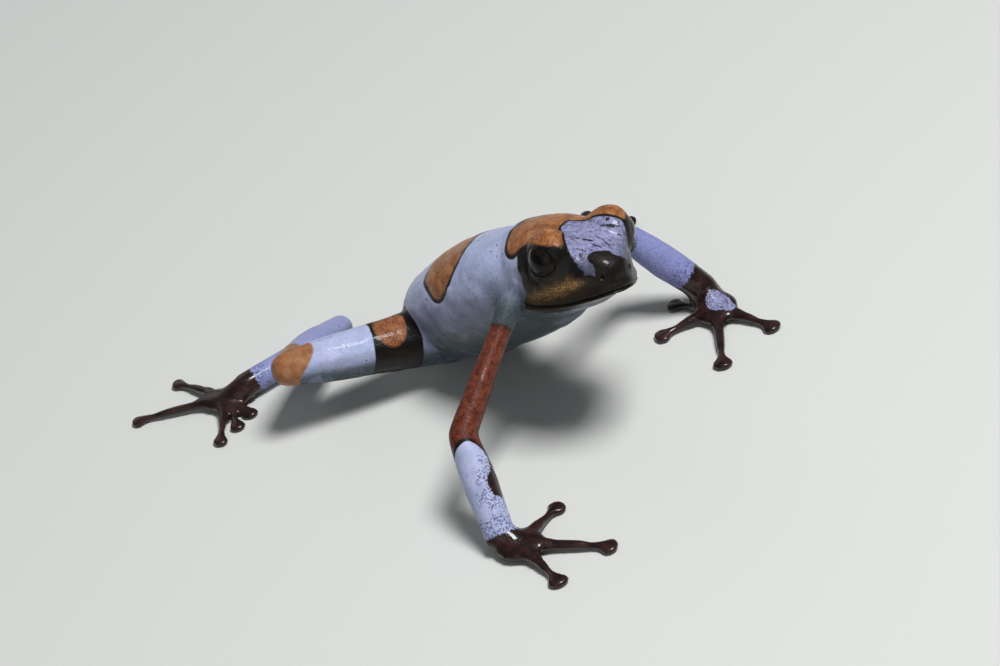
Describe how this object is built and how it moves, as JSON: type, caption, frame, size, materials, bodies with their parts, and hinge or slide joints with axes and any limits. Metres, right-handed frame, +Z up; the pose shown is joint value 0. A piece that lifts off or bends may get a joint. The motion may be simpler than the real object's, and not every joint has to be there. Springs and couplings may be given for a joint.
{
  "type": "harlequin poison frog",
  "caption": "Life-size poison frog in a walking pose, its front raised on spread forelegs, one hind leg stretched back, with broad finger and toe discs.",
  "frame": {"origin": "middle of the stance's bounding box on the floor, Z = 0 at the floor", "axes": "+Z up; the frog walks along -Y, with its left side towards +X"},
  "size_m": [0.0442, 0.0538, 0.0204],
  "materials": {
    "skin_head": "moist brown-orange skin",
    "skin_trunk": "moist lavender-blue skin",
    "skin_upper_arm": "moist rust-red skin",
    "skin_hands_feet": "glossy dark brown skin",
    "eye": "wet black"
  },
  "bodies": {
    "root": {"head": "skin_head", "torso": "skin_trunk", "eye_left": "eye", "eye_right": "eye", "upper_arm_left": "skin_upper_arm", "upper_arm_right": "skin_upper_arm", "forearm_left": "skin_trunk", "forearm_right": "skin_trunk", "hand_left": "skin_hands_feet", "hand_right": "skin_hands_feet", "thigh_left": "skin_trunk", "thigh_right": "skin_trunk", "shank_left": "skin_trunk", "shank_right": "skin_trunk", "tarsus_left": "skin_trunk", "tarsus_right": "skin_trunk", "foot_left": "skin_hands_feet", "foot_right": "skin_hands_feet"}
  },
  "joints": []
}
